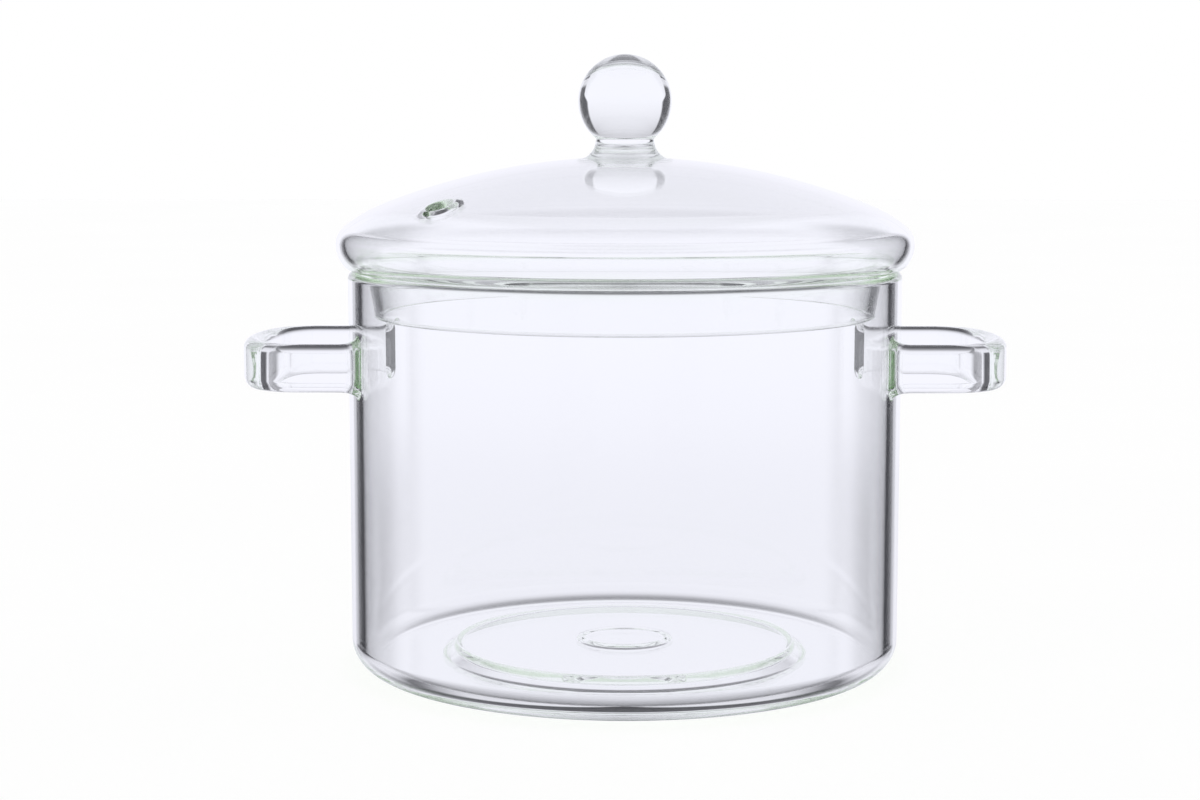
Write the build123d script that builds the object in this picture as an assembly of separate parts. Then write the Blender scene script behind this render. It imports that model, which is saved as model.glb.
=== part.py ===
from build123d import *
import os
from math import asin, atan2, cos, degrees, radians, sin, sqrt, tan

# Pot, a straight glass cylinder with a rounded heel and a raised centre in its base
POT_DIAMETER = 150.0
POT_HEIGHT = 108.3
POT_WALL = 3.5
HEEL_RADIUS = 8.0
KICK_RADIUS = 45.0
KICK_HEIGHT = 3.0
KICK_SLOPE_ANGLE = 40.0
KICK_BLEND = 1.5
BUTTON_RADIUS = 11.0
BUTTON_HEIGHT = 0.6
BUTTON_SLOPE_ANGLE = 20.0
RIM_FLAT = 0.1

# Handles, flat glass bars with rounded edges bent into level loops, on flared feet
BAR_HEIGHT = 12.8
BAR_THICKNESS = 6.0
BAR_EDGE_RADIUS = 2.6
HANDLE_DROP = 24.2
BAR_SPACING = 52.0
HANDLE_REACH = 28.5
CORNER_RADIUS = 13.0
GRIP_BOW_RADIUS = 60.0
FOOT_LENGTH = 4.8
FOOT_FLARE = 3.4

# Lid, one blown shell with a domed top, a rolled edge and a collar that drops into the pot
LID_WALL = 2.4
LID_OVERHANG = 3.2
SEAT_GAP = 0.3
DOME_RADIUS = 178.0
SHOULDER_RADIUS = 36.0
SHOULDER_ANGLE = 40.0
EDGE_RADIUS = 5.8
UNDERCUT_RADIUS = 9.0
UNDERCUT_ANGLE = 125.0
FOLD_RADIUS = 4.5
COLLAR_CLEARANCE = 1.7
COLLAR_FILLET = 1.6
COLLAR_TAPER_ANGLE = 9.0
COLLAR_DEPTH = 11.2

# Steam vent, a flame-cut hole with a raised rounded lip near the front left edge of the dome
VENT_HOLE = 6.4
VENT_LIP = 10.4
VENT_LIP_HEIGHT = 0.8
VENT_LIP_ROUND = 0.9
VENT_INSET = 14.5
VENT_AZIMUTH_ANGLE = 222.5

# Knob, a solid glass ball on a short flared neck
BALL_DIAMETER = 25.3
NECK_DIAMETER = 15.8
NECK_FLARE = 5.4
KNOB_STAND = 15.0

# Values that follow from the sizes above
POT_RADIUS = POT_DIAMETER / 2
POT_BORE = POT_RADIUS - POT_WALL
BALL_RADIUS = BALL_DIAMETER / 2
BAR_OFFSET = BAR_SPACING / 2
HANDLE_HEIGHT = POT_HEIGHT - HANDLE_DROP
GRIP_CENTRE = POT_RADIUS + HANDLE_REACH - BAR_THICKNESS / 2
FOOT_AZIMUTH = degrees(asin(BAR_OFFSET / POT_RADIUS))
FOOT_CONTACT = POT_RADIUS * cos(radians(FOOT_AZIMUTH))
BAR_START = FOOT_CONTACT + FOOT_LENGTH
SEAT_HEIGHT = POT_HEIGHT + SEAT_GAP
LID_RADIUS = POT_RADIUS + LID_OVERHANG
COLLAR_HEADING = 90 + COLLAR_TAPER_ANGLE


def rounded_face(corners):
    """A face in the XZ plane from (radius, height, corner radius) points, each corner rounded."""
    points = [Vector(r, 0, z) for r, z, _ in corners]
    joints = []
    for i, (_, _, blend) in enumerate(corners):
        here = points[i]
        if blend == 0:
            joints.append((here, None, here))
            continue
        back = (points[i - 1] - here).normalized()
        ahead = (points[(i + 1) % len(points)] - here).normalized()
        half = radians(back.get_angle(ahead)) / 2
        middle = here + (back + ahead).normalized() * (blend / sin(half) - blend)
        reach = blend / tan(half)
        joints.append((here + back * reach, middle, here + ahead * reach))
    edges = []
    for i, (start, middle, end) in enumerate(joints):
        if middle is not None:
            edges.append(ThreePointArc(start, middle, end))
        edges.append(Line(end, joints[(i + 1) % len(joints)][0]))
    return make_face(edges)


def turned(face):
    """The full solid of revolution of a face about the vertical axis."""
    return revolve(face, axis=Axis.Z, revolution_arc=360)


def base_corners(lift):
    """Profile of one side of the pot's base from the axis outwards, lifted by the glass thickness."""
    kick_shift = lift * tan(radians(KICK_SLOPE_ANGLE / 2))
    button_shift = lift * tan(radians(BUTTON_SLOPE_ANGLE / 2))
    kick_run = KICK_HEIGHT / tan(radians(KICK_SLOPE_ANGLE))
    button_run = BUTTON_HEIGHT / tan(radians(BUTTON_SLOPE_ANGLE))
    top = KICK_HEIGHT + lift
    return [
        (0, top + BUTTON_HEIGHT, 0),
        (BUTTON_RADIUS + button_shift, top + BUTTON_HEIGHT, KICK_BLEND),
        (BUTTON_RADIUS + button_run + button_shift, top, KICK_BLEND),
        (KICK_RADIUS + kick_shift, top, KICK_BLEND),
        (KICK_RADIUS + kick_run + kick_shift, lift, KICK_BLEND),
    ]


def make_pot():
    """The pot: wall, heel and base in one turned solid with a fire-polished rim."""
    rim_round = (POT_WALL - RIM_FLAT) / 2
    outline = base_corners(0) + [
        (POT_RADIUS, 0, HEEL_RADIUS),
        (POT_RADIUS, POT_HEIGHT, rim_round),
        (POT_BORE, POT_HEIGHT, rim_round),
        (POT_BORE, POT_WALL, HEEL_RADIUS - POT_WALL),
    ]
    return turned(rounded_face(outline + base_corners(POT_WALL)[::-1]))


def handle_plan():
    """Points where the loop's centre line changes from bar to corner to grip, on the +Y side."""
    bow_x = GRIP_CENTRE - GRIP_BOW_RADIUS
    corner_y = BAR_OFFSET - CORNER_RADIUS
    corner_x = bow_x + sqrt((GRIP_BOW_RADIUS - CORNER_RADIUS) ** 2 - corner_y ** 2)
    meet = atan2(corner_y, corner_x - bow_x)
    middle = (meet + radians(90)) / 2
    bar_end = Vector(corner_x, BAR_OFFSET, HANDLE_HEIGHT)
    bend = Vector(
        corner_x + CORNER_RADIUS * cos(middle),
        corner_y + CORNER_RADIUS * sin(middle),
        HANDLE_HEIGHT,
    )
    grip_end = Vector(
        corner_x + CORNER_RADIUS * cos(meet),
        corner_y + CORNER_RADIUS * sin(meet),
        HANDLE_HEIGHT,
    )
    return bar_end, bend, grip_end, Vector(GRIP_CENTRE, 0, HANDLE_HEIGHT)


def bar_section(flare):
    """Upright rounded section of the handle's bar, spread by a flare on every side."""
    return RectangleRounded(
        BAR_THICKNESS + 2 * flare, BAR_HEIGHT + 2 * flare, BAR_EDGE_RADIUS + flare
    )


def make_loop():
    """The flat bar of the right handle, bent into two arms and a bowed grip."""
    rear = handle_plan()[:3]
    grip_middle = handle_plan()[3]
    front = [Vector(p.X, -p.Y, p.Z) for p in rear]
    start = Vector(BAR_START, BAR_OFFSET, HANDLE_HEIGHT)
    end = Vector(BAR_START, -BAR_OFFSET, HANDLE_HEIGHT)
    path = Wire(
        [
            Line(start, rear[0]).edge(),
            ThreePointArc(*rear).edge(),
            ThreePointArc(rear[2], grip_middle, front[2]).edge(),
            ThreePointArc(front[2], front[1], front[0]).edge(),
            Line(front[0], end).edge(),
        ]
    )
    section = Plane(start, x_dir=(0, 1, 0), z_dir=(1, 0, 0)) * bar_section(0)
    return sweep(section, path=path)


def make_foot():
    """The flared glass foot that seals the right handle's rear bar to the wall."""
    bar_plane = Plane((BAR_START, BAR_OFFSET, HANDLE_HEIGHT), x_dir=(0, 1, 0), z_dir=(1, 0, 0))
    normal = Vector(cos(radians(FOOT_AZIMUTH)), sin(radians(FOOT_AZIMUTH)), 0)
    along = Vector(-normal.Y, normal.X, 0)
    contact = Vector(FOOT_CONTACT, BAR_OFFSET, HANDLE_HEIGHT)
    wall_plane = Plane(contact - normal * (POT_WALL / 2), x_dir=along, z_dir=normal)
    middle_tilt = radians(FOOT_AZIMUTH / 2)
    middle_normal = Vector(cos(middle_tilt), sin(middle_tilt), 0)
    middle_along = Vector(-middle_normal.Y, middle_normal.X, 0)
    middle_centre = contact + Vector(FOOT_LENGTH / 2, 0, 0)
    middle_plane = Plane(middle_centre, x_dir=middle_along, z_dir=middle_normal)
    sections = [
        bar_plane * bar_section(0),
        middle_plane * bar_section(FOOT_FLARE / 5),
        wall_plane * bar_section(FOOT_FLARE),
    ]
    return loft(sections) - Cylinder(POT_RADIUS, 2 * POT_HEIGHT)


def sine(angle):
    """Sine of an angle in degrees."""
    return sin(radians(angle))


def cosine(angle):
    """Cosine of an angle in degrees."""
    return cos(radians(angle))


def dome_angle():
    """Slope of the dome where it passes into the shoulder, so that the edge has the lid's radius."""
    shoulder = SHOULDER_RADIUS * sine(SHOULDER_ANGLE)
    edge = EDGE_RADIUS * (1 - sine(SHOULDER_ANGLE))
    return degrees(asin((LID_RADIUS - shoulder - edge) / (DOME_RADIUS - SHOULDER_RADIUS)))


def shell_arcs():
    """The shell's outside from crown to seat: the radius of each arc and the slope it ends at."""
    return [
        (DOME_RADIUS, dome_angle()),
        (SHOULDER_RADIUS, SHOULDER_ANGLE),
        (EDGE_RADIUS, 90),
        (UNDERCUT_RADIUS, UNDERCUT_ANGLE),
        (FOLD_RADIUS, 180),
    ]


def crown_height():
    """Height of the dome's crown, found from the seat by climbing back over the shell's arcs."""
    height = SEAT_HEIGHT
    slope = 0
    for radius, end in shell_arcs():
        height += radius * (cosine(slope) - cosine(end))
        slope = end
    return height


def skin(offset):
    """Points of one face of the lid's shell from the crown to the collar's edge, set in by the offset."""
    r, z, slope = 0, crown_height() - offset, 0
    points = [[Vector(r, 0, z)]]
    for outer_radius, end in shell_arcs():
        radius = outer_radius - offset
        arc = []
        for angle in ((slope + end) / 2, end):
            run = radius * (sine(angle) - sine(slope))
            drop = radius * (cosine(slope) - cosine(angle))
            arc.append(Vector(r + run, 0, z - drop))
        points.append(arc)
        r, z, slope = arc[1].X, arc[1].Z, end
    r = POT_BORE - COLLAR_CLEARANCE + COLLAR_FILLET * sine(COLLAR_HEADING)
    points.append([Vector(r, 0, z)])
    radius = COLLAR_FILLET + offset
    fillet = []
    for angle in ((180 + COLLAR_HEADING) / 2, COLLAR_HEADING):
        fillet.append(Vector(r - radius * sine(angle), 0, z - radius * (1 + cosine(angle))))
    points.append(fillet)
    straight = COLLAR_DEPTH - COLLAR_FILLET * (1 + cosine(COLLAR_HEADING))
    length = straight / sine(COLLAR_HEADING)
    points.append([fillet[1] + collar_direction() * length])
    return points


def collar_direction():
    """The way the collar runs down from the seat."""
    return Vector(cosine(COLLAR_HEADING), 0, -sine(COLLAR_HEADING))


def skin_edges(points):
    """Edges through the points of one skin: a line to a single point, an arc through a pair."""
    edges = []
    here = points[0][0]
    for step in points[1:]:
        if len(step) == 1:
            edges.append(Line(here, step[0]))
        else:
            edges.append(ThreePointArc(here, step[0], step[1]))
        here = step[-1]
    return edges


def vent_place():
    """Plane on the dome's outside at the steam vent, with its normal pointing out."""
    tilt = asin((LID_RADIUS - VENT_INSET) / DOME_RADIUS)
    turn = radians(VENT_AZIMUTH_ANGLE)
    normal = Vector(sin(tilt) * cos(turn), sin(tilt) * sin(turn), cos(tilt))
    origin = Vector(0, 0, crown_height() - DOME_RADIUS) + normal * DOME_RADIUS
    return Plane(origin, z_dir=normal)


def make_lid():
    """The lid's shell with its rolled edge, collar and steam vent."""
    outer = skin(0)
    inner = skin(LID_WALL)
    tip = (outer[-1][0] + inner[-1][0]) / 2 + collar_direction() * (LID_WALL / 2)
    edges = skin_edges(outer) + skin_edges(inner)
    edges.append(ThreePointArc(outer[-1][0], tip, inner[-1][0]))
    edges.append(Line(outer[0][0], inner[0][0]))
    shell = turned(make_face(edges))
    lip_ring = rounded_face(
        [
            (VENT_HOLE / 2, -LID_WALL, 0),
            (VENT_LIP / 2, -LID_WALL, 0),
            (VENT_LIP / 2, VENT_LIP_HEIGHT, VENT_LIP_ROUND),
            (VENT_HOLE / 2, VENT_LIP_HEIGHT, VENT_LIP_ROUND),
        ]
    )
    place = vent_place()
    hole = place * Cylinder(VENT_HOLE / 2, 4 * LID_WALL)
    shell -= place * Cylinder(VENT_LIP / 2, 4 * LID_WALL)
    return shell + (place * turned(lip_ring) - hole)


def ball_centre():
    """Height of the ball's centre above the standing plane."""
    return crown_height() + KNOB_STAND


def make_ball():
    """The solid glass ball of the knob."""
    return Pos(0, 0, ball_centre()) * Sphere(BALL_RADIUS)


def make_neck():
    """The solid neck between dome and ball, flared at its foot."""
    neck = NECK_DIAMETER / 2
    foot = neck + NECK_FLARE
    seam = ball_centre() - sqrt(BALL_RADIUS ** 2 - neck ** 2)
    bottom = crown_height() - LID_WALL
    blank = Pos(0, 0, (bottom + seam) / 2) * Cylinder(foot, seam - bottom)
    flare = Pos(0, 0, seam) * Torus(foot, NECK_FLARE)
    dome = Pos(0, 0, crown_height() - DOME_RADIUS) * Sphere(DOME_RADIUS)
    ball = Pos(0, 0, ball_centre()) * Sphere(BALL_RADIUS)
    return blank - flare - dome - ball


def main():
    """Builds every piece and writes it to its own file."""
    loop = make_loop()
    rear_foot = make_foot()
    front_foot = mirror(rear_foot, about=Plane.XZ)
    half_turn = Rot(0, 0, 180)
    pieces = {
        "pot_body": make_pot(),
        "right_handle_loop": loop,
        "right_handle_rear_foot": rear_foot,
        "right_handle_front_foot": front_foot,
        "left_handle_loop": half_turn * loop,
        "left_handle_rear_foot": half_turn * front_foot,
        "left_handle_front_foot": half_turn * rear_foot,
        "lid_shell": make_lid(),
        "knob_neck": make_neck(),
        "knob_ball": make_ball(),
    }
    os.makedirs("parts", exist_ok=True)
    for name, shape in pieces.items():
        export_step(shape, f"parts/{name}.step")
        box = shape.bounding_box()
        print(f"{name}: volume {shape.volume:.0f} mm3, box {box.size}, solids {len(shape.solids())}")


main()
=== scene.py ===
"""Looks of a clear glass saucepan with lid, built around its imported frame."""

import functools
import logging
import math
from dataclasses import dataclass
from enum import Enum
from typing import NamedTuple

import bmesh
import bpy
from bmesh.types import BMesh, BMEdge, BMVert
from mathutils import Matrix, Vector
from mathutils.bvhtree import BVHTree


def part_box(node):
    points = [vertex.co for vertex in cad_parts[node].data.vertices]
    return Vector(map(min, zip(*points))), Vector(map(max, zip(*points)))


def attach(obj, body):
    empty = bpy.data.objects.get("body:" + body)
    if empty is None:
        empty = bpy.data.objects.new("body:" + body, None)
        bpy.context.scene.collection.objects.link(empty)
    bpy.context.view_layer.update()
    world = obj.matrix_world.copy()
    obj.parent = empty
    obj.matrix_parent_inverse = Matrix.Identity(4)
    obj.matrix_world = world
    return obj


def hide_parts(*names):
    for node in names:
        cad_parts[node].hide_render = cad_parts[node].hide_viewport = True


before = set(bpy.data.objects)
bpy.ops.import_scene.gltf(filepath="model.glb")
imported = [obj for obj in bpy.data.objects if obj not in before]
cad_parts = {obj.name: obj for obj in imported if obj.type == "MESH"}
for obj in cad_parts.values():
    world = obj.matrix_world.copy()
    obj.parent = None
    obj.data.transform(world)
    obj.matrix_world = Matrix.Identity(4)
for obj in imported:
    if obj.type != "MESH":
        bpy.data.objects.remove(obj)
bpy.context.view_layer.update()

log = logging.getLogger("glass_saucepan")

TURNED_STEPS = 240
LONGEST_RUN = 0.004
LONGEST_ARC_STEP = 0.0014
WIDEST_ARC_TURN = 9.0
CREASE_ANGLE = math.radians(32)
FUSED_DEPTH = 0.0002
DRIFT_SCALE = 40.0
DRIFT_LOW = 0.15
DRIFT_HIGH = 0.75
RIM_TINT_SOFT = 0.001
RIM_TINT_ABOVE = 0.01
LID_TINT_BELOW = 0.002
LID_TINT_ABOVE = 0.004
MERGE_DISTANCE = 1e-7
SLOPE_LAYER = "slope"
CREASED = 1000.0


class Side(Enum):
    """The two handles, by the sign of their X."""

    LEFT = -1
    RIGHT = 1


class Corner(NamedTuple):
    """One corner of a turned outline: its place and how far it is rounded."""

    r: float
    z: float
    blend: float


def sine(angle: float) -> float:
    """Sine of an angle in degrees."""
    return math.sin(math.radians(angle))


def cosine(angle: float) -> float:
    """Cosine of an angle in degrees."""
    return math.cos(math.radians(angle))


class ProfilePen:
    """Draws the half section of a turned piece in the XZ plane with bmesh operators.

    The heading is in degrees, 0 away from the axis and 90 straight down. Each vertex keeps the
    heading of the outline at its place, from which the turned piece gets its exact normals.
    """

    def __init__(self, mesh: BMesh, r: float, z: float, heading: float) -> None:
        """Puts the pen down.

        Args:
            mesh: The mesh that is drawn in.
            r: Start distance from the axis.
            z: Start height.
            heading: Start heading in degrees.
        """
        self.mesh = mesh
        self.slope = mesh.verts.layers.float.new(SLOPE_LAYER)
        self.tip: BMVert = mesh.verts.new((r, 0, z))
        self.heading = heading
        self.tip[self.slope] = heading

    def step(self, move: Matrix, turn: float) -> None:
        """Draws one edge.

        Args:
            move: The new tip's change from the old one.
            turn: Change of heading in degrees.
        """
        made = bmesh.ops.extrude_vert_indiv(self.mesh, verts=[self.tip])
        self.tip = made["verts"][0]
        bmesh.ops.transform(self.mesh, matrix=move, verts=[self.tip])
        self.heading += turn
        self.tip[self.slope] = self.heading

    def line(self, length: float) -> None:
        """Draws straight on.

        Args:
            length: Length of the line.
        """
        cuts = max(1, math.ceil(length / LONGEST_RUN))
        ahead = Vector((cosine(self.heading), 0, -sine(self.heading))) * (length / cuts)
        for _ in range(cuts):
            self.step(Matrix.Translation(ahead), 0)

    def arc(self, radius: float, turn: float) -> None:
        """Draws a tangent arc.

        Args:
            radius: Radius of the arc.
            turn: Change of heading in degrees, positive to the right of the way ahead.
        """
        to_side = Vector((-sine(self.heading), 0, -cosine(self.heading))) * math.copysign(radius, turn)
        centre = Matrix.Translation(self.tip.co + to_side)
        length = radius * math.radians(abs(turn))
        steps = max(3, math.ceil(length / LONGEST_ARC_STEP), math.ceil(abs(turn) / WIDEST_ARC_TURN))
        swing = centre @ Matrix.Rotation(math.radians(turn / steps), 4, "Y") @ centre.inverted()
        for _ in range(steps):
            self.step(swing, turn / steps)

    def crease(self, turn: float) -> None:
        """Turns on the spot, which leaves a crease.

        Args:
            turn: Change of heading in degrees.
        """
        self.heading += turn
        self.tip[self.slope] = CREASED

    def follow(self, corners: list[Corner]) -> None:
        """Draws through a list of corners and rounds each one.

        Args:
            corners: The corners after the pen's own place, in order.
        """
        for here, after in zip(corners, corners[1:] + [None]):
            to_here = Vector((here.r, 0, here.z)) - self.tip.co
            self.heading = math.degrees(math.atan2(-to_here.z, to_here.x))
            if after is None or here.blend == 0:
                self.line(to_here.length)
                continue
            onward = math.degrees(math.atan2(here.z - after.z, after.r - here.r))
            turn = (onward - self.heading + 180) % 360 - 180
            self.line(to_here.length - here.blend * math.tan(math.radians(abs(turn) / 2)))
            self.arc(here.blend, turn)


def turn_full(mesh: BMesh) -> None:
    """Spins the drawn half section round the Z axis into a closed shell.

    Args:
        mesh: The mesh that holds the half section and nothing else.
    """
    bmesh.ops.spin(
        mesh,
        geom=mesh.verts[:] + mesh.edges[:],
        cent=(0, 0, 0),
        axis=(0, 0, 1),
        angle=math.tau,
        steps=TURNED_STEPS,
        use_merge=True,
        use_duplicate=False,
    )
    bmesh.ops.remove_doubles(mesh, verts=mesh.verts[:], dist=MERGE_DISTANCE)
    bmesh.ops.recalc_face_normals(mesh, faces=mesh.faces[:])


def exact_normals(data: bpy.types.Mesh) -> None:
    """Gives each vertex that keeps a slope the normal of the true turned surface.

    Args:
        data: The mesh of a turned piece.
    """
    slopes = data.attributes[SLOPE_LAYER].data
    normals = []
    for vert, slope in zip(data.vertices, slopes):
        normal = Vector((0, 0, 0))
        if slope.value != CREASED:
            away = Vector((vert.co.x, vert.co.y, 0)).normalized()
            normal = away * sine(slope.value) + Vector((0, 0, cosine(slope.value)))
            if normal.dot(vert.normal) < 0:
                normal.negate()
        normals.append(normal)
    data.normals_split_custom_set_from_vertices(normals)


def make_piece(name: str, mesh: BMesh, material: bpy.types.Material) -> bpy.types.Object:
    """Turns a finished mesh into a smooth piece of the object.

    Args:
        name: Name of the piece.
        mesh: Its mesh, which is freed.
        material: Its material.

    Returns:
        The new object, at the origin.
    """
    data = bpy.data.meshes.new(name)
    mesh.to_mesh(data)
    mesh.free()
    data.polygons.foreach_set("use_smooth", [True] * len(data.polygons))
    data.set_sharp_from_angle(angle=CREASE_ANGLE)
    if SLOPE_LAYER in data.attributes:
        exact_normals(data)
        data.attributes.remove(data.attributes[SLOPE_LAYER])
    data.materials.append(material)
    piece = bpy.data.objects.new(name, data)
    bpy.context.scene.collection.objects.link(piece)
    return piece


def place(piece: bpy.types.Object, body: str, nodes: list[str]) -> None:
    """Ties a piece to the frame and reports it.

    Args:
        piece: The piece.
        body: The body that it moves with.
        nodes: The solids that it stands for.
    """
    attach(piece, body)
    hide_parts(*nodes)
    log.info("%s: %d faces on body %s", piece.name, len(piece.data.polygons), body)


class NodeSheet:
    """Adds and wires nodes of one node tree."""

    def __init__(self, tree: bpy.types.NodeTree) -> None:
        """Takes the tree that is worked on."""
        self.tree = tree

    def add(self, kind: str, **settings: object) -> bpy.types.Node:
        """Adds a node and sets its properties.

        Args:
            kind: The node's type.
            settings: Property names and values.

        Returns:
            The new node.
        """
        node = self.tree.nodes.new(kind)
        for key, value in settings.items():
            setattr(node, key, value)
        return node

    def feed(self, node: bpy.types.Node, **inputs: object) -> bpy.types.Node:
        """Sets or links inputs by socket name, with underscores for spaces.

        Args:
            node: The node whose inputs are fed.
            inputs: A value, or the output socket to link, for each input.

        Returns:
            The same node.
        """
        for key, value in inputs.items():
            socket = node.inputs[key.replace("_", " ")]
            self.join(socket, value)
        return node

    def join(self, socket: bpy.types.NodeSocket, value: object) -> None:
        """Links an output to a socket, or sets the socket's own value."""
        if isinstance(value, bpy.types.NodeSocket):
            self.tree.links.new(value, socket)
        else:
            socket.default_value = value

    def math(self, operation: str, *values: object) -> bpy.types.NodeSocket:
        """Adds a Math node.

        Args:
            operation: The Math node's operation.
            values: Its operands, as numbers or sockets.

        Returns:
            The result's socket.
        """
        node = self.add("ShaderNodeMath", operation=operation)
        for socket, value in zip(node.inputs, values):
            self.join(socket, value)
        return node.outputs[0]

    def fade(self, value: object, start: float, end: float) -> bpy.types.NodeSocket:
        """Adds a smooth step from 0 at start to 1 at end.

        Args:
            value: The number or socket that is stepped.
            start: Where the step begins.
            end: Where it is complete; it may lie below start.

        Returns:
            The step's socket.
        """
        node = self.add("ShaderNodeMapRange", interpolation_type="SMOOTHSTEP")
        self.feed(node, Value=value, From_Min=start, From_Max=end)
        return node.outputs["Result"]

    def blend(self, share: object, first: object, second: object) -> bpy.types.NodeSocket:
        """Adds a mix of two colours.

        Args:
            share: Share of the second colour.
            first: The first colour.
            second: The second colour.

        Returns:
            The mixed colour's socket.
        """
        node = self.add("ShaderNodeMix", data_type="RGBA")
        self.join(node.inputs["Factor"], share)
        colours = [socket for socket in node.inputs if socket.type == "RGBA"]
        for socket, colour in zip(colours, (first, second)):
            self.join(socket, colour)
        return next(socket for socket in node.outputs if socket.type == "RGBA")


def make_melt_group() -> bpy.types.NodeTree:
    """Builds the effect of flame-worked glass that all finishes share.

    Returns:
        A group with a tint that deepens in a band of heights and a slow wave of the surface.
    """
    tree = bpy.data.node_groups.new("flame_worked_glass", "ShaderNodeTree")
    face = tree.interface
    face.new_socket("Place", in_out="INPUT", socket_type="NodeSocketVector")
    for name in ("Clear Tint", "Deep Tint"):
        face.new_socket(name, in_out="INPUT", socket_type="NodeSocketColor")
    for name in ("Band Low", "Band High", "Band Soft", "Wave Scale"):
        face.new_socket(name, in_out="INPUT", socket_type="NodeSocketFloat")
    face.new_socket("Tint", in_out="OUTPUT", socket_type="NodeSocketColor")
    face.new_socket("Wave", in_out="OUTPUT", socket_type="NodeSocketFloat")
    sheet = NodeSheet(tree)
    given = sheet.add("NodeGroupInput").outputs
    result = sheet.add("NodeGroupOutput")
    split = sheet.feed(sheet.add("ShaderNodeSeparateXYZ"), Vector=given["Place"])
    height = split.outputs["Z"]
    above = sheet.math("DIVIDE", sheet.math("SUBTRACT", height, given["Band Low"]), given["Band Soft"])
    below = sheet.math("DIVIDE", sheet.math("SUBTRACT", given["Band High"], height), given["Band Soft"])
    band = sheet.fade(sheet.math("MINIMUM", above, below), -1.0, 1.0)
    drift = sheet.feed(
        sheet.add("ShaderNodeTexNoise"), Vector=given["Place"], Scale=DRIFT_SCALE, Detail=2.0
    )
    depth = sheet.math("MULTIPLY", band, sheet.fade(drift.outputs["Fac"], DRIFT_LOW, DRIFT_HIGH))
    mixed = sheet.blend(depth, given["Clear Tint"], given["Deep Tint"])
    wave = sheet.feed(
        sheet.add("ShaderNodeTexNoise"), Vector=given["Place"], Scale=given["Wave Scale"], Detail=1.0
    )
    sheet.feed(result, Tint=mixed, Wave=wave.outputs["Fac"])
    return tree


@dataclass(frozen=True)
class GlassFinish:
    """One clear borosilicate finish."""

    name: str
    clear_tint: tuple[float, float, float, float] = (0.994, 0.997, 0.996, 1.0)
    deep_tint: tuple[float, float, float, float] = (0.94, 0.98, 0.92, 1.0)
    band_low: float = 0.0
    band_high: float = 0.0
    band_soft: float = 0.002
    wave_scale: float = 45.0
    wave_depth: float = 0.000006
    refraction: float = 1.473
    depth_colour: tuple[float, float, float, float] = (0.40, 0.80, 0.20, 1.0)
    depth_density: float = 0.7

    def build(self, melt: bpy.types.NodeTree) -> bpy.types.Material:
        """Builds the material.

        Args:
            melt: The shared group of flame-worked glass.

        Returns:
            The new material.
        """
        material = bpy.data.materials.new(self.name)
        material.use_nodes = True
        sheet = NodeSheet(material.node_tree)
        shader = material.node_tree.nodes["Principled BSDF"]
        where = sheet.add("ShaderNodeTexCoord")
        worked = sheet.add("ShaderNodeGroup", node_tree=melt)
        sheet.feed(
            worked,
            Place=where.outputs["Object"],
            Clear_Tint=self.clear_tint,
            Deep_Tint=self.deep_tint,
            Band_Low=self.band_low,
            Band_High=self.band_high,
            Band_Soft=self.band_soft,
            Wave_Scale=self.wave_scale,
        )
        bump = sheet.feed(
            sheet.add("ShaderNodeBump"), Height=worked.outputs["Wave"], Distance=self.wave_depth
        )
        sheet.feed(
            shader,
            Base_Color=worked.outputs["Tint"],
            Normal=bump.outputs["Normal"],
            Roughness=0.0,
            IOR=self.refraction,
            Transmission_Weight=1.0,
        )
        depth = sheet.feed(
            sheet.add("ShaderNodeVolumeAbsorption"), Color=self.depth_colour, Density=self.depth_density
        )
        sheet.join(material.node_tree.nodes["Material Output"].inputs["Volume"], depth.outputs["Volume"])
        return material


@dataclass
class PotBody:
    """The pot: straight wall, rounded heel and a base with a raised centre."""

    finish: bpy.types.Material
    wall: float = 0.0035
    heel_radius: float = 0.008
    kick_radius: float = 0.045
    kick_height: float = 0.003
    kick_slope: float = 40.0
    kick_blend: float = 0.0015
    button_radius: float = 0.011
    button_height: float = 0.0006
    button_slope: float = 20.0
    rim_flat: float = 0.0001

    def base_corners(self, lift: float) -> list[Corner]:
        """Outline of one side of the base.

        Args:
            lift: Height above the underside.

        Returns:
            The corners from the axis outwards.
        """
        kick_shift = lift * math.tan(math.radians(self.kick_slope / 2))
        button_shift = lift * math.tan(math.radians(self.button_slope / 2))
        kick_run = self.kick_height / math.tan(math.radians(self.kick_slope))
        button_run = self.button_height / math.tan(math.radians(self.button_slope))
        top = self.kick_height + lift
        return [
            Corner(0, top + self.button_height, 0),
            Corner(self.button_radius + button_shift, top + self.button_height, self.kick_blend),
            Corner(self.button_radius + button_run + button_shift, top, self.kick_blend),
            Corner(self.kick_radius + kick_shift, top, self.kick_blend),
            Corner(self.kick_radius + kick_run + kick_shift, lift, self.kick_blend),
        ]

    def build(self) -> bpy.types.Object:
        """Turns the pot and puts it in the frame.

        Returns:
            The pot's piece.
        """
        low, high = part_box("pot_body")
        radius = high.x
        bore = radius - self.wall
        rim_round = (self.wall - self.rim_flat) / 2
        under = self.base_corners(0)
        inside = self.base_corners(self.wall)
        mesh = bmesh.new()
        pen = ProfilePen(mesh, under[0].r, under[0].z, 0)
        pen.follow(
            under[1:]
            + [
                Corner(radius, low.z, self.heel_radius),
                Corner(radius, high.z, rim_round),
                Corner(bore, high.z, rim_round),
                Corner(bore, self.wall, self.heel_radius - self.wall),
            ]
            + inside[::-1]
        )
        turn_full(mesh)
        piece = make_piece("pot_glass_body", mesh, self.finish)
        place(piece, "pot", ["pot_body"])
        return piece


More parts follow.
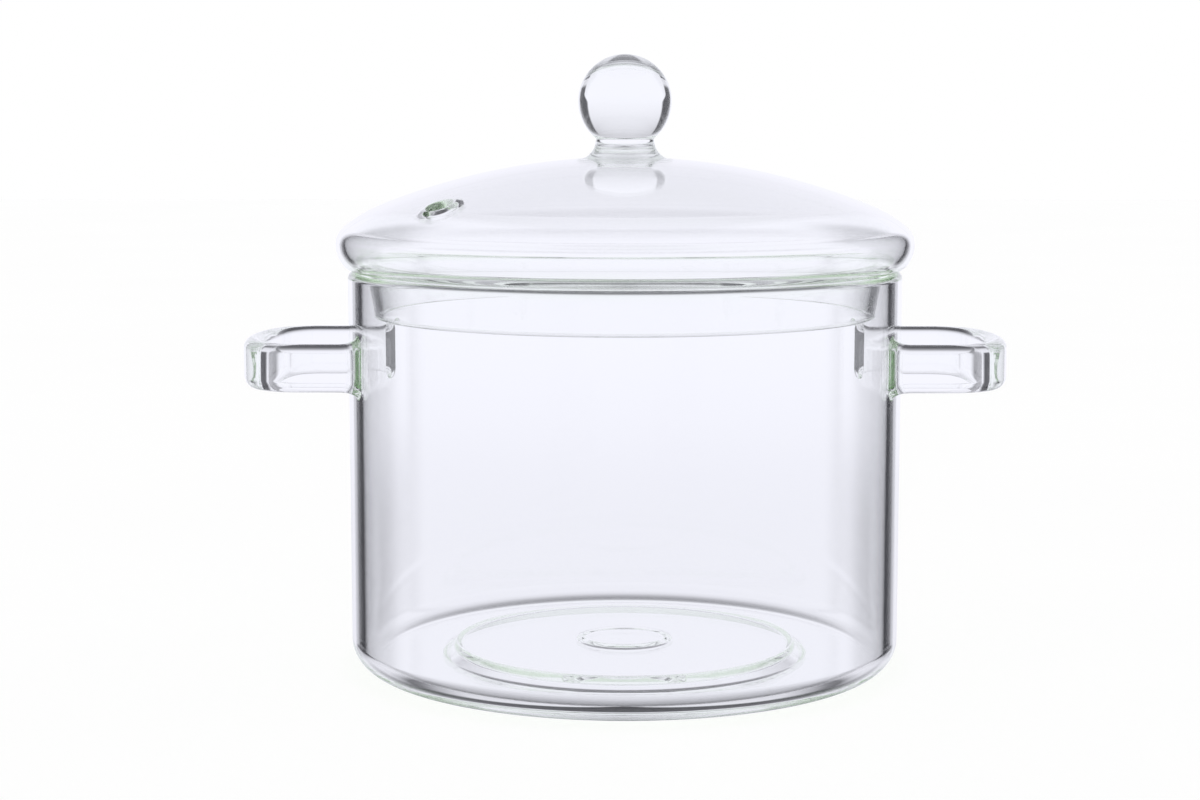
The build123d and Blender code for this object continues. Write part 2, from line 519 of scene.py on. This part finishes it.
@dataclass
class LoopHandle:
    """One handle: a flat glass bar bent into a level loop, with flared feet on the wall."""

    side: Side
    finish: bpy.types.Material
    bar_thickness: float = 0.006
    edge_radius: float = 0.0026
    bar_spacing: float = 0.052
    corner_radius: float = 0.013
    bow_radius: float = 0.060
    foot_flare: float = 0.0021
    foot_widening: float = 0.0005
    foot_steps: int = 14
    bar_steps: int = 6
    bend_steps: int = 36
    grip_steps: int = 48

    def section(self, mesh: BMesh, height: float, stand: Matrix) -> list[BMEdge]:
        """Draws the bar's rounded section.

        Args:
            mesh: The handle's mesh.
            height: Height of the bar.
            stand: Where the section goes from the XZ plane.

        Returns:
            The section's edges.
        """
        across = self.bar_thickness - 2 * self.edge_radius
        upright = height - 2 * self.edge_radius
        pen = ProfilePen(mesh, -across / 2, height / 2, 0)
        for length in (across, upright, across, upright):
            pen.line(length)
            pen.arc(self.edge_radius, 90)
        bmesh.ops.remove_doubles(mesh, verts=mesh.verts[:], dist=MERGE_DISTANCE)
        bmesh.ops.transform(mesh, matrix=stand, verts=mesh.verts[:])
        mesh.verts.layers.float.remove(pen.slope)
        return mesh.edges[:]

    def ring_ahead(self, mesh: BMesh, ring: list[BMEdge], centre: Vector, move: Matrix) -> list[BMEdge]:
        """Extrudes the open end of the bar by one step.

        Args:
            mesh: The handle's mesh.
            ring: The edges of the open end.
            centre: The point about which the new ring is turned and scaled.
            move: The new ring's change from the old one, about that point.

        Returns:
            The edges of the new open end.
        """
        made = bmesh.ops.extrude_edge_only(mesh, edges=ring)["geom"]
        verts = [item for item in made if isinstance(item, BMVert)]
        bmesh.ops.transform(mesh, matrix=move, space=Matrix.Translation(-centre), verts=verts)
        fresh = set(verts)
        return [e for e in made if isinstance(e, BMEdge) and fresh.issuperset(e.verts)]

    def bend(
        self, mesh: BMesh, ring: list[BMEdge], centre: Vector, angle: float, steps: int
    ) -> list[BMEdge]:
        """Spins the open end of the bar round an upright axis.

        Args:
            mesh: The handle's mesh.
            ring: The edges of the open end.
            centre: A point on the axis.
            angle: Angle of the bend in radians.
            steps: Number of steps.

        Returns:
            The edges of the new open end.
        """
        made = bmesh.ops.spin(
            mesh,
            geom=ring,
            cent=centre,
            axis=(0, 0, 1),
            angle=angle,
            steps=steps,
            use_duplicate=False,
        )
        return [item for item in made["geom_last"] if isinstance(item, BMEdge)]

    def flare(self, mesh: BMesh, ring: list[BMEdge], centre: Vector, height: float, wall: float) -> None:
        """Spreads the open end of an arm into its foot and closes it inside the wall.

        Args:
            mesh: The handle's mesh.
            ring: The edges of the arm's end.
            centre: The centre of that end.
            height: Height of the bar.
            wall: Radius of the pot's outside.
        """
        azimuth = math.asin(centre.y / wall)
        contact = wall * math.cos(azimuth)
        length = centre.x - contact
        wide, tall, gone = self.bar_thickness, height, 0.0
        for step in range(1, self.foot_steps + 1):
            share = 90 * step / self.foot_steps
            spread = 2 * self.foot_flare * (1 - cosine(share))
            broad = self.bar_thickness + 2 * self.foot_widening * (1 - cosine(share))
            widen = Matrix.Scale(broad / wide, 4, (0, 1, 0))
            raise_up = Matrix.Scale((height + spread) / tall, 4, (0, 0, 1))
            turn = Matrix.Rotation(azimuth * (sine(share) - gone), 4, "Z")
            shift = Matrix.Translation((-length * (sine(share) - gone), 0, 0))
            ring = self.ring_ahead(mesh, ring, centre, shift @ turn @ widen @ raise_up)
            centre = shift @ centre
            wide, tall, gone = broad, height + spread, sine(share)
        for vert in {vert for edge in ring for vert in edge.verts}:
            vert.co.x = math.sqrt((wall - FUSED_DEPTH) ** 2 - vert.co.y**2)
        bmesh.ops.contextual_create(mesh, geom=ring)

    def build(self) -> bpy.types.Object:
        """Bends the loop, spreads its feet and puts the handle in the frame.

        Returns:
            The handle's piece.
        """
        low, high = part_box("right_handle_loop")
        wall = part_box("pot_body")[1].x
        tall = high.z - low.z
        level = (high.z + low.z) / 2
        half = self.bar_spacing / 2
        bow_x = high.x - self.bar_thickness / 2 - self.bow_radius
        corner_y = half - self.corner_radius
        corner_x = bow_x + math.sqrt((self.bow_radius - self.corner_radius) ** 2 - corner_y**2)
        meet = math.atan2(corner_y, corner_x - bow_x)
        start = Vector((low.x, half, level))
        mesh = bmesh.new()
        first = self.section(mesh, tall, Matrix.Translation(start) @ Matrix.Rotation(math.pi / 2, 4, "Z"))
        step = Matrix.Translation(((corner_x - low.x) / self.bar_steps, 0, 0))
        ring = first
        for _ in range(self.bar_steps):
            ring = self.ring_ahead(mesh, ring, start, step)
        turn = meet - math.pi / 2
        ring = self.bend(mesh, ring, Vector((corner_x, corner_y, level)), turn, self.bend_steps)
        ring = self.bend(mesh, ring, Vector((bow_x, 0, level)), -2 * meet, self.grip_steps)
        ring = self.bend(mesh, ring, Vector((corner_x, -corner_y, level)), turn, self.bend_steps)
        for _ in range(self.bar_steps):
            ring = self.ring_ahead(mesh, ring, start, step.inverted())
        self.flare(mesh, ring, Vector((low.x, -half, level)), tall, wall)
        self.flare(mesh, first, start, tall, wall)
        bmesh.ops.remove_doubles(mesh, verts=mesh.verts[:], dist=MERGE_DISTANCE)
        if self.side is Side.LEFT:
            bmesh.ops.rotate(mesh, verts=mesh.verts[:], matrix=Matrix.Rotation(math.pi, 3, "Z"))
        bmesh.ops.recalc_face_normals(mesh, faces=mesh.faces[:])
        word = self.side.name.lower()
        piece = make_piece(f"{word}_handle_bar", mesh, self.finish)
        nodes = [f"{word}_handle_{part}" for part in ("loop", "front_foot", "rear_foot")]
        place(piece, "pot", nodes)
        return piece


@dataclass
class LidShell:
    """The lid: dome, rolled edge and collar in one blown shell, with its steam vent."""

    finish: bpy.types.Material
    pot_wall: float
    wall: float = 0.0024
    dome_radius: float = 0.178
    shoulder_radius: float = 0.036
    shoulder_angle: float = 40.0
    edge_radius: float = 0.0058
    undercut_radius: float = 0.009
    undercut_angle: float = 125.0
    fold_radius: float = 0.0045
    collar_clearance: float = 0.0017
    collar_fillet: float = 0.0016
    collar_taper: float = 9.0
    collar_depth: float = 0.0112
    vent_hole: float = 0.0064
    vent_lip: float = 0.0104
    vent_lip_height: float = 0.0008
    vent_round: float = 0.0010
    vent_melt: float = 0.0014
    vent_inset: float = 0.0145
    vent_azimuth: float = 222.5
    vent_steps: int = 8

    def crown(self) -> float:
        """Height of the dome's crown."""
        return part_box("lid_shell")[1].z

    def dome_angle(self) -> float:
        """Slope of the dome in degrees where it passes into the shoulder."""
        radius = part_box("lid_shell")[1].x
        shoulder = self.shoulder_radius * sine(self.shoulder_angle)
        edge = self.edge_radius * (1 - sine(self.shoulder_angle))
        run = (radius - shoulder - edge) / (self.dome_radius - self.shoulder_radius)
        return math.degrees(math.asin(run))

    def vent_place(self) -> Matrix:
        """Place of the steam vent on the dome, with Z pointing out of the glass."""
        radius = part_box("lid_shell")[1].x
        tilt = math.asin((radius - self.vent_inset) / self.dome_radius)
        turn = Matrix.Rotation(math.radians(self.vent_azimuth), 4, "Z") @ Matrix.Rotation(tilt, 4, "Y")
        centre = Matrix.Translation((0, 0, self.crown() - self.dome_radius))
        return centre @ turn @ Matrix.Translation((0, 0, self.dome_radius))

    def cut_skin(self, mesh: BMesh, vent: Matrix, side: int, reach: float) -> list[BMEdge]:
        """Takes a round patch out of one skin of the dome.

        Args:
            mesh: The lid's mesh.
            vent: Place of the vent.
            side: 1 for the outer skin, -1 for the inner one.
            reach: Radius of the patch.

        Returns:
            The edges round the opening.
        """
        inward = vent.inverted()
        out = vent.to_3x3() @ Vector((0, 0, side))
        patch = set()
        for face in mesh.faces:
            spot = inward @ face.calc_center_median()
            if spot.xy.length < reach and abs(spot.z) < 2 * self.wall and face.normal.dot(out) > 0:
                patch.add(face)
        edges = {edge for face in patch for edge in face.edges}
        rim = [edge for edge in edges if not patch.issuperset(edge.link_faces)]
        bmesh.ops.delete(mesh, geom=list(patch), context="FACES")
        return rim

    def ring_to(
        self,
        mesh: BMesh,
        skin: BVHTree,
        vent: Matrix,
        verts: set[BMVert],
        side: int,
        reach: float,
        lift: float,
    ) -> None:
        """Moves a ring of vertices to a circle round the vent.

        Args:
            mesh: The lid's mesh.
            skin: The dome before it was cut.
            vent: Place of the vent.
            verts: The ring's vertices.
            side: 1 to measure from the outer skin, -1 from the inner one.
            reach: Radius of the circle.
            lift: Height of the circle above that skin, along the vent's axis.
        """
        slope = mesh.verts.layers.float[SLOPE_LAYER]
        inward = vent.inverted()
        out = vent.to_3x3() @ Vector((0, 0, 1))
        for vert in verts:
            spot = (inward @ vert.co).xy.normalized() * reach
            start = vent @ Vector((spot.x, spot.y, side * 4 * self.wall))
            vert.co = skin.ray_cast(start, -side * out)[0] + out * lift
            vert[slope] = CREASED

    def open_vent(self, mesh: BMesh) -> None:
        """Opens the steam vent through the dome and melts its lip round.

        Args:
            mesh: The turned shell.
        """
        vent = self.vent_place()
        skin = BVHTree.FromBMesh(mesh)
        top = self.vent_hole / 2 + self.vent_round
        outer = self.vent_lip / 2 + self.vent_melt
        ends = []
        for side, reach, height in ((1, outer, self.vent_lip_height), (-1, top, 0.0)):
            rim = self.cut_skin(mesh, vent, side, reach)
            self.ring_to(mesh, skin, vent, {v for e in rim for v in e.verts}, side, reach, 0.0)
            path = []
            if side > 0:
                for step in range(1, self.vent_steps + 1):
                    share = step / self.vent_steps
                    path.append((reach + (top - reach) * share, height * (1 - cosine(180 * share)) / 2))
            for step in range(1, self.vent_steps + 1):
                share = 90 * step / self.vent_steps
                drop = self.vent_round * (1 - cosine(share))
                path.append((top - self.vent_round * sine(share), height - drop))
            for ring_reach, lift in path:
                made = bmesh.ops.extrude_edge_only(mesh, edges=rim)["geom"]
                fresh = {item for item in made if isinstance(item, BMVert)}
                rim = [e for e in made if isinstance(e, BMEdge) and fresh.issuperset(e.verts)]
                self.ring_to(mesh, skin, vent, fresh, side, ring_reach, side * lift)
            ends += rim
        bmesh.ops.bridge_loops(mesh, edges=ends)
        bmesh.ops.recalc_face_normals(mesh, faces=mesh.faces[:])

    def build(self) -> bpy.types.Object:
        """Turns the shell, opens its vent and puts it in the frame.

        Returns:
            The lid's piece.
        """
        slopes = [self.dome_angle(), self.shoulder_angle, 90.0, self.undercut_angle, 180.0]
        radii = [
            self.dome_radius,
            self.shoulder_radius,
            self.edge_radius,
            self.undercut_radius,
            self.fold_radius,
        ]
        turns = [end - start for start, end in zip([0.0] + slopes, slopes)]
        heading = 90 + self.collar_taper
        mesh = bmesh.new()
        pen = ProfilePen(mesh, 0, self.crown(), 0)
        for radius, turn in zip(radii, turns):
            pen.arc(radius, turn)
        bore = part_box("pot_body")[1].x - self.pot_wall
        ledge = pen.tip.co.x - (bore - self.collar_clearance + self.collar_fillet * sine(heading))
        drop = self.collar_depth - self.collar_fillet * (1 + cosine(heading))
        collar = drop / sine(heading)
        pen.line(ledge)
        pen.arc(self.collar_fillet, heading - 180)
        pen.line(collar)
        pen.arc(self.wall / 2, 180)
        pen.line(collar)
        pen.arc(self.collar_fillet + self.wall, 180 - heading)
        pen.line(ledge)
        for radius, turn in zip(radii[::-1], turns[::-1]):
            pen.arc(radius - self.wall, -turn)
        pen.tip.co.x = 0
        turn_full(mesh)
        self.open_vent(mesh)
        piece = make_piece("lid_glass_shell", mesh, self.finish)
        place(piece, "lid", ["lid_shell"])
        return piece


@dataclass
class LidKnob:
    """The knob: a solid glass ball on a short flared neck."""

    finish: bpy.types.Material
    neck_radius: float = 0.0079
    neck_flare: float = 0.0054

    def build(self, dome_radius: float, crown: float) -> bpy.types.Object:
        """Turns the neck and ball and puts them in the frame.

        Args:
            dome_radius: Radius of the dome that the neck is fused to.
            crown: Height of that dome's crown.

        Returns:
            The knob's piece.
        """
        low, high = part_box("knob_ball")
        centre = (low.z + high.z) / 2
        radius = high.z - centre
        seam_angle = math.degrees(math.acos(self.neck_radius / radius))
        seam = centre - radius * sine(seam_angle)
        sunk = dome_radius - FUSED_DEPTH
        tilt = math.degrees(math.asin((self.neck_radius + self.neck_flare) / (sunk + self.neck_flare)))
        mesh = bmesh.new()
        pen = ProfilePen(mesh, 0, crown - FUSED_DEPTH, 0)
        pen.arc(sunk, tilt)
        pen.crease(180)
        pen.arc(self.neck_flare, 90 - tilt)
        pen.line(seam - pen.tip.co.z)
        pen.crease(seam_angle)
        pen.arc(radius, -90 - seam_angle)
        pen.tip.co.x = 0
        turn_full(mesh)
        piece = make_piece("lid_knob_ball", mesh, self.finish)
        place(piece, "lid", ["knob_neck", "knob_ball"])
        return piece


@dataclass
class PhotoCamera:
    """The camera, fitted to the outline of the pot in a frame of 1200 by 800."""

    distance: float = 0.6679
    height: float = 0.1557
    pitch: float = 7.10
    yaw: float = 0.579
    lens: float = 73.65
    sensor: float = 36.0
    nearest: float = 0.01

    def build(self) -> None:
        """Makes the camera and sets it as the scene's own."""
        data = bpy.data.cameras.new("photo_camera")
        data.sensor_fit = "HORIZONTAL"
        data.sensor_width = self.sensor
        data.lens = self.lens
        data.clip_start = self.nearest
        camera = bpy.data.objects.new("photo_camera", data)
        camera.location = (0, -self.distance, self.height)
        camera.rotation_euler = (math.radians(90 - self.pitch), 0, math.radians(self.yaw))
        bpy.context.scene.collection.objects.link(camera)
        bpy.context.scene.camera = camera


@dataclass(frozen=True)
class Glow:
    """Brightness of the surroundings at one height above the horizon, in degrees.

    The straight level is seen behind the pot in the photo and the side level all round.
    """

    height: float
    straight: float
    side: float


@dataclass(frozen=True)
class SoftEdge:
    """A soft edge between two levels: its middle and half its width, in degrees.

    Half the width is negative where the share grows towards smaller angles.
    """

    angle: float
    half: float

    def ends(self) -> tuple[float, float]:
        """Where the share begins and where it is complete, in radians."""
        return math.radians(self.angle - self.half), math.radians(self.angle + self.half)


@dataclass
class Studio:
    """Plain white studio: pale floor, a white board behind the pot and soft surroundings.

    In the glass the surroundings are dark steeply down behind the pot and at a flag on each side.
    """

    floor_size: float = 6.0
    floor_drop: float = 0.0002
    grain_scale: float = 6.0
    grain_colour: tuple[float, float, float, float] = (0.985, 0.985, 0.985, 1.0)
    floor_colour: tuple[float, float, float, float] = (1.0, 1.0, 1.0, 1.0)
    board_back: float = 0.153
    board_half: float = 0.155
    board_soft: float = 0.008
    board_lean: float = 0.042
    lean_low: float = 0.125
    lean_high: float = 0.16
    board_foot: float = 0.0
    board_fade: float = 0.05
    board_high: float = 0.60
    foot_high: float = 0.08
    head_low: float = 0.13
    head_high: float = 0.30
    flag_inner: SoftEdge = SoftEdge(26.0, 3.0)
    flag_outer: SoftEdge = SoftEdge(69.0, -6.0)
    flag_low: SoftEdge = SoftEdge(-17.0, 3.0)
    flag_high: SoftEdge = SoftEdge(40.0, -6.0)
    flag_share: float = 0.96
    flag_colour: tuple[float, float, float, float] = (0.02, 0.02, 0.025, 1.0)
    board_colour: tuple[float, float, float, float] = (0.95, 0.95, 1.035, 1.0)
    foot_colour: tuple[float, float, float, float] = (0.88, 0.88, 0.965, 1.0)
    head_colour: tuple[float, float, float, float] = (0.58, 0.58, 0.63, 1.0)
    ambient: float = 1.0
    bounces: int = 256
    straight_edge: SoftEdge = SoftEdge(28.0, -6.0)
    glows: tuple[Glow, ...] = (
        Glow(-90.0, 0.03, 0.85),
        Glow(-52.7, 0.03, 0.8),
        Glow(-45.1, 0.03, 0.5),
        Glow(-40.0, 0.04, 0.2),
        Glow(-36.7, 0.04, 0.12),
        Glow(-32.8, 0.08, 0.55),
        Glow(-29.0, 0.2, 0.82),
        Glow(-25.3, 0.3, 0.87),
        Glow(-22.5, 0.42, 0.88),
        Glow(-20.4, 0.6, 0.9),
        Glow(-18.3, 0.78, 0.91),
        Glow(-15.5, 0.9, 0.92),
        Glow(-8.0, 0.92, 0.92),
        Glow(-6.0, 0.95, 0.95),
        Glow(-3.3, 1.0, 1.0),
        Glow(13.4, 1.0, 1.0),
        Glow(27.5, 0.9, 0.95),
        Glow(90.0, 0.9, 0.95),
    )

    def build(self) -> None:
        """Builds the floor, the board and the world."""
        self.build_floor()
        self.build_board()
        self.build_world()
        settings = bpy.context.scene.cycles
        settings.blur_glossy = 0.0
        settings.max_bounces = self.bounces
        settings.transmission_bounces = self.bounces
        settings.glossy_bounces = self.bounces
        bpy.context.scene.view_settings.view_transform = "Standard"

    def build_floor(self) -> None:
        """Lays the pale floor just under the pot."""
        mesh = bmesh.new()
        bmesh.ops.create_grid(mesh, x_segments=1, y_segments=1, size=self.floor_size / 2)
        bmesh.ops.translate(mesh, verts=mesh.verts[:], vec=(0, 0, -self.floor_drop))
        material = bpy.data.materials.new("pale_floor")
        material.use_nodes = True
        sheet = NodeSheet(material.node_tree)
        where = sheet.add("ShaderNodeTexCoord")
        grain = sheet.feed(
            sheet.add("ShaderNodeTexNoise"), Vector=where.outputs["Object"], Scale=self.grain_scale
        )
        mixed = sheet.blend(grain.outputs["Fac"], self.grain_colour, self.floor_colour)
        shader = material.node_tree.nodes["Principled BSDF"]
        sheet.feed(shader, Base_Color=mixed, Roughness=1.0, Specular_IOR_Level=0.0)
        floor = make_piece("floor", mesh, material)
        floor.visible_transmission = False
        floor.visible_glossy = False

    def build_board(self) -> None:
        """Stands the white board behind the pot, where only the glass shows it."""
        mesh = bmesh.new()
        bmesh.ops.create_grid(mesh, x_segments=1, y_segments=1, size=1)
        middle = (self.board_high + self.board_foot) / 2
        wide = self.board_half + self.board_soft
        size = Matrix.Diagonal((wide, self.board_high - middle, 1, 1))
        stand = Matrix.Translation((0, self.board_back, middle)) @ Matrix.Rotation(math.pi / 2, 4, "X")
        bmesh.ops.transform(mesh, matrix=stand @ size, verts=mesh.verts[:])
        material = bpy.data.materials.new("white_board")
        material.use_nodes = True
        sheet = NodeSheet(material.node_tree)
        where = sheet.add("ShaderNodeTexCoord")
        split = sheet.feed(sheet.add("ShaderNodeSeparateXYZ"), Vector=where.outputs["Object"])
        height = split.outputs["Z"]
        lean = sheet.math("MULTIPLY", sheet.fade(height, self.lean_low, self.lean_high), self.board_lean)
        across = sheet.math("ADD", sheet.math("ABSOLUTE", split.outputs["X"]), lean)
        beside = sheet.fade(across, self.board_half - self.board_soft, self.board_half + self.board_soft)
        from_foot = sheet.fade(height, self.board_foot, self.foot_high)
        low = sheet.blend(from_foot, self.foot_colour, self.board_colour)
        tall = sheet.blend(sheet.fade(height, self.head_low, self.head_high), low, self.head_colour)
        solid = sheet.fade(height, self.board_foot, self.board_foot + self.board_fade)
        path = sheet.add("ShaderNodeLightPath")
        from_glass = sheet.math("LESS_THAN", path.outputs["Diffuse Depth"], 0.5)
        board = sheet.math("MULTIPLY", solid, sheet.math("SUBTRACT", 1.0, beside))
        share = sheet.math("MULTIPLY", board, from_glass)
        clear = sheet.add("ShaderNodeBsdfTransparent")
        shown = sheet.feed(sheet.add("ShaderNodeEmission"), Color=tall)
        mixed = sheet.add("ShaderNodeMixShader")
        sheet.join(mixed.inputs[0], share)
        sheet.join(mixed.inputs[1], clear.outputs["BSDF"])
        sheet.join(mixed.inputs[2], shown.outputs["Emission"])
        sheet.join(material.node_tree.nodes["Material Output"].inputs["Surface"], mixed.outputs["Shader"])
        plane = make_piece("white_board", mesh, material)
        plane.visible_camera = False
        plane.visible_diffuse = False
        plane.visible_shadow = False

    def backdrop(
        self, sheet: NodeSheet, height: bpy.types.NodeSocket, levels: list[float]
    ) -> bpy.types.NodeSocket:
        """Brightness of the surroundings, brightest at the horizon.

        Args:
            sheet: The world's nodes.
            height: Angle above the horizon in radians.
            levels: Brightness at the height of each glow.

        Returns:
            The socket of that brightness.
        """
        ramp = sheet.add("ShaderNodeValToRGB")
        sheet.join(ramp.inputs["Fac"], sheet.math("MULTIPLY_ADD", height, 1 / math.pi, 0.5))
        stops = ramp.color_ramp.elements
        while len(stops) < len(levels):
            stops.new(0.5)
        for stop, glow, level in zip(stops, self.glows, levels):
            stop.position = (glow.height + 90) / 180
            stop.color = (level, level, level, 1.0)
        return ramp.outputs["Color"]

    def build_world(self) -> None:
        """Sets what the glass shows of its surroundings, and white for the camera and the floor."""
        world = bpy.data.worlds.new("white_studio")
        bpy.context.scene.world = world
        world.use_nodes = True
        sheet = NodeSheet(world.node_tree)
        where = sheet.add("ShaderNodeTexCoord")
        split = sheet.feed(sheet.add("ShaderNodeSeparateXYZ"), Vector=where.outputs["Generated"])
        x, y, z = (split.outputs[axis] for axis in "XYZ")
        aside = sheet.math("ABSOLUTE", sheet.math("ARCTAN2", x, y))
        height = sheet.math("ARCSINE", z)
        straight = sheet.fade(aside, *self.straight_edge.ends())
        behind = self.backdrop(sheet, height, [glow.straight for glow in self.glows])
        around = self.backdrop(sheet, height, [glow.side for glow in self.glows])
        bright = sheet.blend(straight, around, behind)
        fades = [sheet.fade(aside, *edge.ends()) for edge in (self.flag_inner, self.flag_outer)]
        fades += [sheet.fade(height, *edge.ends()) for edge in (self.flag_low, self.flag_high)]
        flag = functools.reduce(functools.partial(sheet.math, "MULTIPLY"), fades)
        dimmed = sheet.math("MULTIPLY", flag, self.flag_share)
        bright = sheet.math("MULTIPLY", bright, sheet.math("SUBTRACT", 1.0, dimmed))
        shown = sheet.blend(bright, self.flag_colour, self.board_colour)
        path = sheet.add("ShaderNodeLightPath")
        through = sheet.math("MAXIMUM", path.outputs["Is Glossy Ray"], path.outputs["Is Transmission Ray"])
        from_floor = sheet.math("GREATER_THAN", path.outputs["Diffuse Depth"], 0.5)
        plain = sheet.math("MAXIMUM", sheet.math("SUBTRACT", 1.0, through), from_floor)
        white = (self.ambient, self.ambient, self.ambient, 1.0)
        background = world.node_tree.nodes["Background"]
        sheet.feed(background, Color=sheet.blend(plain, shown, white), Strength=1.0)


def main() -> None:
    """Builds every piece, the camera and the studio in order."""
    logging.basicConfig(level=logging.INFO, format="%(name)s: %(message)s")
    PhotoCamera().build()
    Studio().build()
    melt = make_melt_group()
    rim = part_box("pot_body")[1].z
    pot_finish = GlassFinish(
        "pot_clear_glass",
        band_low=rim - RIM_TINT_SOFT,
        band_high=rim + RIM_TINT_ABOVE,
        band_soft=RIM_TINT_SOFT,
    )
    pot = PotBody(pot_finish.build(melt))
    pot.build()
    handle_finish = GlassFinish("handle_clear_glass").build(melt)
    for side in Side:
        LoopHandle(side, handle_finish).build()
    lid_finish = GlassFinish(
        "lid_clear_glass", band_low=rim - LID_TINT_BELOW, band_high=rim + LID_TINT_ABOVE
    )
    lid = LidShell(lid_finish.build(melt), pot.wall)
    lid.build()
    knob_finish = GlassFinish("knob_clear_glass").build(melt)
    LidKnob(knob_finish).build(lid.dome_radius, lid.crown())


if __name__ == "__main__":
    main()
